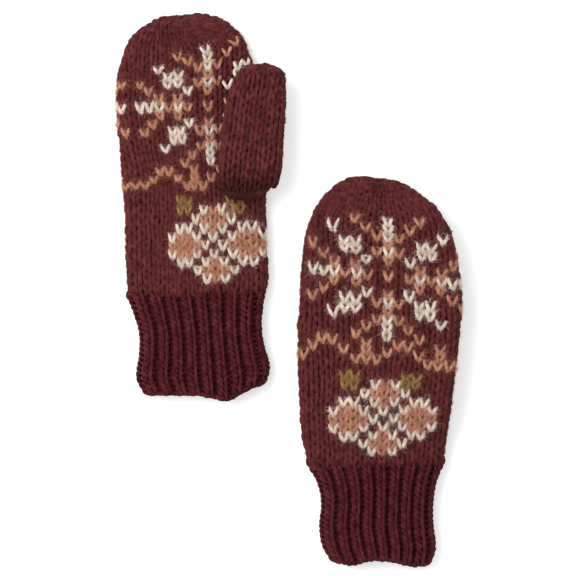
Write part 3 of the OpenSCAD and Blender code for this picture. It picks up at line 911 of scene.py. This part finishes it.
def rib_stitch(row, column, t):
    """One stitch of a cuff, from its start at t = -pi to its end at t = pi, as its place round the cuff, its
    height in rounds, how far it stands out, and its radius. A knit stitch has one leg that leans and one
    that stands straight; a purl stitch is the same loop seen from behind."""
    knit = column % 2 == 0
    pair = column - column % 2
    width = 2 * RIB_SHARE if knit else 2 * (1 - RIB_SHARE)
    centre = pair + (RIB_SHARE if knit else 1 + RIB_SHARE)
    calm = np.cos(t / 2) ** 2
    lean = np.where(t < 0, 0.28, 0.06) if knit else 0.15
    across = centre + width * (t / (2 * math.pi) + lean * np.sin(2 * t)) + rng.normal(0, 0.03) * calm
    high = row + (0.86 + rng.normal(0, 0.05) * calm) * np.cos(t) + rng.normal(0, 0.05) * calm
    crossing = 1 - ease((np.abs(t) / math.pi - 0.78) / 0.22)
    swing = -LOOP_DEPTH * np.cos(2 * t) * crossing * (1 if knit else -1)
    stand = (RIB_OUT if knit else RIB_IN) * (1 - (t / math.pi) ** 4)
    out = swing + stand + rng.normal(0, 0.1) * calm
    fat = np.where(t < 0, 1.14, 0.94) if knit else 0.9
    radius = CUFF_YARN_R * fat * (1 - 0.08 * np.cos(2 * t)) * (1 + rng.normal(0, 0.03, len(t)))
    return across, high, out, radius


def knit_cuff(net):
    """The ribbed cuff: knit columns stand out, purl columns lie back between them."""
    yarn = Yarn()
    t = np.linspace(-math.pi, math.pi, LOOP_STEPS + 1)[:-1]
    for row in range(CUFF_ROUNDS + 1):
        stitches = [rib_stitch(row, column, t) for column in range(CUFF_STITCHES)]
        u, v, out, r = (np.append(np.concatenate(part), part[0][0]) for part in zip(*stitches))
        u[-1] += CUFF_STITCHES
        p, _, _, n = net.at(u, v)
        yarn.add(p + n * out[:, None], n, r, CUFF_STITCHES * 7)
    return yarn


def cast_on(net):
    """The cast-on edge: two strands twisted about each other along the hem."""
    yarn = Yarn()
    steps = CUFF_STITCHES * 10
    for phase in (0, math.pi):
        u = np.linspace(0, CUFF_STITCHES, steps + 1)
        turn = 2 * math.pi * u + phase
        rib = 0.6 * np.cos(math.pi * u)
        p, _, _, n = net.at(u, np.full(steps + 1, -0.55) + 0.22 * np.cos(turn))
        yarn.add(p + n * (0.9 * np.sin(turn) + rib)[:, None], n, 1.05, CUFF_STITCHES * 3)
    return yarn


def drawn_tip(net, row, turns, yarn_r):
    """The end of the yarn that draws the last stitches together: a small coil in the hollow."""
    yarn = Yarn()
    u = np.linspace(0, net.columns * turns, int(26 * turns))
    part = np.linspace(0, 1, len(u))
    p, _, _, n = net.at(u, np.full(len(u), float(row)))
    centre = p.mean(0)
    points = centre + (p - centre) * (1.25 - 0.75 * part)[:, None] - n * (0.2 + 1.3 * part)[:, None]
    yarn.add(points, n, yarn_r * (1 - 0.2 * part), 30)
    return yarn


def opening_round(radius, low, high, stitches):
    """The stitches picked up about a thumb opening, as two rounds of loops on a short tube."""
    nodes = np.zeros((4, stitches, 3))
    a = 2 * math.pi * np.arange(stitches) / stitches - math.pi / 2
    for k in range(4):
        r = radius + 0.5 * (k == 0)
        z = np.full(stitches, low + (high - low) * k / 3)
        nodes[k] = np.column_stack([r * np.cos(a), r * np.sin(a), z])
    net = Net(nodes)
    yarn = Yarn()
    for row in (1, 2):
        knit_run(net, row, np.arange(stitches, dtype=float), 1, yarn, 1.0, height=0.8, depth=0.5, fuzz=0)
    return yarn


# ---------------------------------------------------------------- materials


def linear(rgb):
    """A screen colour from 0 to 255 as the shader's linear colour."""
    c = np.array(rgb, float) / 255
    return tuple(np.where(c <= 0.04045, c / 12.92, ((c + 0.055) / 1.055) ** 2.4)) + (1.0,)


def new_material(name, roughness, specular):
    """A material, its node tree, and its shader."""
    mat = bpy.data.materials.new(name)
    mat.use_nodes = True
    shader = mat.node_tree.nodes["Principled BSDF"]
    shader.inputs["Roughness"].default_value = roughness
    shader.inputs["Specular IOR Level"].default_value = specular
    return mat, mat.node_tree, shader


def noise(tree, vector, scale, detail, roughness=0.5):
    """The value of a noise texture."""
    node = tree.nodes.new("ShaderNodeTexNoise")
    node.inputs["Scale"].default_value = scale
    node.inputs["Detail"].default_value = detail
    node.inputs["Roughness"].default_value = roughness
    tree.links.new(vector, node.inputs["Vector"])
    return node.outputs["Fac"]


def reckon(tree, operation, first, second):
    """The result of a sum or product of a varying value with another one or with a number."""
    node = tree.nodes.new("ShaderNodeMath")
    node.operation = operation
    tree.links.new(first, node.inputs[0])
    if isinstance(second, float):
        node.inputs[1].default_value = second
    else:
        tree.links.new(second, node.inputs[1])
    return node.outputs[0]


def colour_by(tree, shader, value, stops):
    """Colours the shader by a value; stops are (value, screen colour), from low to high."""
    ramp = tree.nodes.new("ShaderNodeValToRGB")
    elements = ramp.color_ramp.elements
    for element, (position, colour) in zip(elements, (stops[0], stops[-1])):
        element.position = position
        element.color = linear(colour)
    for position, colour in stops[1:-1]:
        elements.new(position).color = linear(colour)
    tree.links.new(value, ramp.inputs["Fac"])
    tree.links.new(ramp.outputs["Color"], shader.inputs["Base Color"])


def roughen(tree, shader, height, strength, distance):
    """Bumps on the surface, as high as the value says."""
    bump = tree.nodes.new("ShaderNodeBump")
    bump.inputs["Strength"].default_value = strength
    bump.inputs["Distance"].default_value = distance
    tree.links.new(height, bump.inputs["Height"])
    tree.links.new(bump.outputs["Normal"], shader.inputs["Normal"])


def fold_painted_shade(tree, place, low, high):
    """A value that falls below 0 between y = high and y = low, in metres: painted shade, which darkens the
    wool towards a fold.
    """
    axes = tree.nodes.new("ShaderNodeSeparateXYZ")
    tree.links.new(place, axes.inputs["Vector"])
    along = tree.nodes.new("ShaderNodeMapRange")
    along.interpolation_type = "SMOOTHSTEP"
    along.inputs["From Min"].default_value = low
    along.inputs["From Max"].default_value = high
    along.inputs["To Min"].default_value = -0.15
    along.inputs["To Max"].default_value = 0.0
    tree.links.new(axes.outputs["Y"], along.inputs["Value"])
    return along.outputs["Result"]


def wool(name, deep, mid, light, fold=None):
    """Soft wool yarn: fibres that run along the strand with a slight twist, and a mottled, matt colour.
    fold is the stretch in y, in metres, over which the wool is painted darker towards a fold, as painted
    shade."""
    mat, tree, shader = new_material(name, 0.95, 0.12)
    shader.inputs["Sheen Weight"].default_value = 0.25
    shader.inputs["Sheen Roughness"].default_value = 0.6
    shader.inputs["Sheen Tint"].default_value = linear(light)
    uv = tree.nodes.new("ShaderNodeUVMap")
    uv.uv_map = "yarn"
    twist = tree.nodes.new("ShaderNodeMapping")
    twist.inputs["Rotation"].default_value = (0, 0, 0.32)
    twist.inputs["Scale"].default_value = (2.4, 9.0, 1.0)
    tree.links.new(uv.outputs["UV"], twist.inputs["Vector"])
    strands = noise(tree, twist.outputs["Vector"], 2.2, 4.0, 0.65)
    place = tree.nodes.new("ShaderNodeTexCoord").outputs["Object"]
    mottle = noise(tree, place, 240.0, 3.0)
    shade = reckon(tree, "MULTIPLY", reckon(tree, "ADD", strands, mottle), 0.5)
    # Painted shade: towards a fold the colour slides towards the deep end of the ramp.
    if fold:
        shade = reckon(tree, "ADD", shade, fold_painted_shade(tree, place, *fold))
    colour_by(tree, shader, shade, [(0.4, deep), (0.5, mid), (0.61, light)])
    roughen(tree, shader, strands, 0.5, 0.0006)
    return mat


def lining(name, deep, light, rough=0.6):
    """The fabric seen between and behind the stitches: the same wool, in shade."""
    mat, tree, shader = new_material(name, 1.0, 0.05)
    place = tree.nodes.new("ShaderNodeTexCoord").outputs["Object"]
    fluff = noise(tree, place, 900.0, 4.0)
    colour_by(tree, shader, fluff, [(0.35, deep), (0.65, light)])
    roughen(tree, shader, fluff, rough, 0.0004)
    return mat


def painted_light_fibres(name, deep, light):
    """The loose fibres that stand off the yarn, which catch more light than the yarn itself: their colour is
    painted paler than the wool, as painted light.
    """
    mat = lining(name, deep, light, rough=0.1)
    mat.node_tree.nodes["Principled BSDF"].inputs["Specular IOR Level"].default_value = 0.0
    return mat


# For each yarn: its colour's name, its wool from deep to light, and its loose fibres from deep to light,
# which are mostly painted paler than the wool as painted light
YARN_COLOURS = {
    "hand": ("maroon", (60, 21, 24), (82, 34, 34), (102, 48, 47), (90, 42, 41), (120, 66, 63)),
    "cuff": ("wine", (52, 14, 20), (71, 23, 30), (91, 37, 42), (74, 30, 34), (96, 44, 48)),
    "cream": ("cream", (172, 152, 134), (214, 196, 178), (240, 226, 210), (206, 186, 170), (234, 220, 206)),
    "rose": ("rose", (130, 80, 62), (171, 117, 93), (200, 150, 122), (180, 124, 98), (208, 156, 130)),
    "olive": ("olive", (102, 72, 42), (138, 102, 62), (166, 132, 88), (132, 100, 64), (162, 130, 92)),
}
YARNS = {
    key: (wool(f"{name}_wool", deep, mid, light), painted_light_fibres(f"{name}_fluff", fluff_deep, fluff_light))
    for key, (name, deep, mid, light, fluff_deep, fluff_light) in YARN_COLOURS.items()
}
HAND_LINING = lining("maroon_lining", (60, 23, 25), (86, 38, 38))
# The cuff's lining is darker than any of its wool: painted shade in the grooves between the ribs.
CUFF_LINING_PAINTED_SHADE = lining("wine_lining", (30, 8, 12), (46, 14, 20))
# The hand's wool with a darker deep colour, for the painted shade at the right thumb's base fold
FOLD_SHADE_WOOL = ((50, 20, 20), (82, 34, 34), (102, 48, 47))


# ---------------------------------------------------------------- assembly


BEND_ABOVE, BEND_BELOW = 12, 14  # how far from the wrist the ends of its bend lie, which are worked out but not used


def across_wrist(obj, m, place):
    """A piece that crosses the wrist: the ends of the wrist's bend are worked out but not used, and the
    piece's place is baked into its mesh.
    """
    line = [[m.wrist_x, CUFF_H + BEND_ABOVE, 8.0], [m.wrist_x, CUFF_H - BEND_BELOW, 8.0]]
    ends = placed(np.array(line), *place) * MM
    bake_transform(obj)


def build_mitten(m):
    """One mitten's hand, and then its cuff and its thumb."""
    place = place_of(m)
    side = m.name
    _, hand_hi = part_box(f"{side}_hand")
    hand_t = hand_hi.z / MM - m.lift
    net = hand_net(m, hand_t)
    yarns = knit_hand(m, net)

    for k in range(1, GROUND_PIECES + 1):
        obj = yarn_object(f"{side}_hand_ground_{k}", yarns.pop(f"ground_{k}"), place, YARNS["hand"])
        if k == 1:
            across_wrist(obj, m, place)
        else:
            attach(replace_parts(obj, f"{side}_hand"), f"{side}_hand")
    for key, yarn in yarns.items():
        chart, colour = key.rsplit("_", 1)
        node = f"{side}_leaves_olive" if colour == "olive" else f"{side}_{key}"
        obj = yarn_object(f"{node}_yarn", yarn, place, YARNS[colour], reach=5.6, width=0.06)
        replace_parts(obj, node)
        if chart == "flower":
            across_wrist(obj, m, place)
        else:
            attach(obj, f"{side}_hand")

    def off_hole(p):
        away = np.hypot(p[:, 0] - m.hole[0], p[:, 1] - m.hole[1])
        return (away > THUMB_HOLE - 1.5) | (p[:, 2] < hand_t / 2)

    rows = np.arange(FIRST_ROW - 0.6, FLAKE_TOP + TIP_ROUNDS + 0.01, 0.4)
    keep = off_hole if side == "right" else None
    obj = shell_object(f"{side}_hand_lining", net, 96, rows, -0.9, -2.2, place, HAND_LINING, keep)
    across_wrist(obj, m, place)

    tip = drawn_tip(net, FLAKE_TOP + TIP_ROUNDS, 2.5, 1.2)
    obj = yarn_object(f"{side}_tip_gather_yarn", tip, place, YARNS["hand"])
    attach(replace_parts(obj, f"{side}_tip_gather"), f"{side}_hand")

    build_cuff(m, place)
    build_thumb(m, hand_t)


def build_cuff(m, place):
    """A cuff's ribs, their lining, and the cast-on edge."""
    side = m.name
    _, cuff_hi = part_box(f"{side}_cuff")
    net = cuff_net(m, cuff_hi.z / MM)
    obj = yarn_object(f"{side}_cuff_ribs", knit_cuff(net), place, YARNS["cuff"], reach=1.4)
    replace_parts(obj, f"{side}_cuff")
    across_wrist(obj, m, place)
    rows = np.arange(-0.7, CUFF_ROUNDS + 0.6, 0.6)
    obj = shell_object(f"{side}_cuff_lining", net, 108, rows, -1.9, -2.9, place, CUFF_LINING_PAINTED_SHADE)
    across_wrist(obj, m, place)
    obj = yarn_object(f"{side}_cast_on_strands", cast_on(net), place, YARNS["cuff"], reach=1.2)
    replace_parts(obj, f"{side}_cast_on_edge")
    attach(obj, f"{side}_cuff")


def build_thumb(m, hand_t):
    """A thumb, its lining, its drawn-together tip, and the round that joins it to the hand."""
    side = m.name
    lo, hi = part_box(f"{side}_thumb")
    net = thumb_net(1 if side == "right" else -1, lo.z / MM, hi.z / MM)
    pivot = np.array(joint(f"{side}_thumb_swing")["pos_m"][:2]) / MM
    place = (math.radians(m.thumb_turn), pivot)
    thumb_wool, fluff = YARNS["hand"]
    if side == "right":
        # The right thumb's wool is painted darker towards its base fold: painted shade where the fold turns
        # away from the light.
        fold = ((pivot[1] - 12) * MM, (pivot[1] + 12) * MM)
        thumb_wool = wool("maroon_wool_folded", *FOLD_SHADE_WOOL, fold=fold)
    obj = yarn_object(f"{side}_thumb_yarn", knit_thumb(net), place, (thumb_wool, fluff))
    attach(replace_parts(obj, f"{side}_thumb"), f"{side}_thumb")
    rows = np.arange(0, THUMB_ROUNDS + 0.01, 0.5)
    obj = shell_object(f"{side}_thumb_lining", net, 56, rows, -0.9, -2.1, place, HAND_LINING)
    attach(obj, f"{side}_thumb")
    tip = drawn_tip(net, THUMB_ROUNDS, 2, 1.1)
    obj = yarn_object(f"{side}_thumb_gather_yarn", tip, place, YARNS["hand"])
    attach(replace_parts(obj, f"{side}_thumb_gather"), f"{side}_thumb")
    low, high = (hand_t - 3, lo.z / MM + 3) if side == "right" else (hi.z / MM - 3, m.lift + 3)
    yarn = opening_round(THUMB_HOLE + 0.1, low, high, THUMB_STITCHES)
    obj = yarn_object(f"{side}_thumb_join_yarn", yarn, place, YARNS["hand"])
    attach(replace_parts(obj, f"{side}_thumb_join"), f"{side}_hand")


# ---------------------------------------------------------------- studio, in metres

CAMERA_HEIGHT = 4.0
LOOK_Z = 0.018  # height of the upper faces, where the picture's width is measured
PICTURE_WIDTH = 0.3779
SENSOR = 36
LAMP_AT, LAMP_SIZE, LAMP_POWER = (-1.0, 0.5, 1.5), 1.3, 28
SKY = 0.86  # strength of the even light from all round
WHITE = (1, 1, 1, 1)


def lay_floor():
    """A pale sheet of paper, lit a little from below."""
    bpy.ops.mesh.primitive_plane_add(size=6)
    floor = bpy.context.object
    floor.name = "floor"
    mat = bpy.data.materials.new("floor")
    mat.use_nodes = True
    paper = mat.node_tree.nodes["Principled BSDF"]
    paper.inputs["Base Color"].default_value = (0.84, 0.84, 0.84, 1)
    paper.inputs["Roughness"].default_value = 1.0
    paper.inputs["Emission Color"].default_value = WHITE
    paper.inputs["Emission Strength"].default_value = 0.34
    floor.data.materials.append(mat)


def hang_softbox():
    """One soft lamp, up and to the left."""
    light = bpy.data.lights.new("softbox", "AREA")
    light.shape = "SQUARE"
    light.size = LAMP_SIZE
    light.energy = LAMP_POWER
    lamp = bpy.data.objects.new("softbox", light)
    bpy.context.scene.collection.objects.link(lamp)
    lamp.location = LAMP_AT
    lamp.rotation_euler = (-Vector(LAMP_AT)).to_track_quat("-Z", "Y").to_euler()


def set_camera():
    """The camera, straight over the pair."""
    camera = bpy.data.cameras.new("camera")
    eye = bpy.data.objects.new("camera", camera)
    bpy.context.scene.collection.objects.link(eye)
    eye.location = (0, 0, CAMERA_HEIGHT)
    camera.sensor_width = SENSOR
    camera.lens = SENSOR * (CAMERA_HEIGHT - LOOK_Z) / PICTURE_WIDTH
    camera.clip_end = 20
    bpy.context.scene.camera = eye


def studio():
    """Pale floor, even light, a softbox, and the camera."""
    scene = bpy.context.scene
    scene.view_settings.view_transform = "Standard"
    world = bpy.data.worlds.new("studio")
    scene.world = world
    world.use_nodes = True
    sky = world.node_tree.nodes["Background"]
    sky.inputs["Color"].default_value = WHITE
    sky.inputs["Strength"].default_value = SKY
    lay_floor()
    hang_softbox()
    set_camera()


studio()
build_mitten(right)
build_mitten(left)
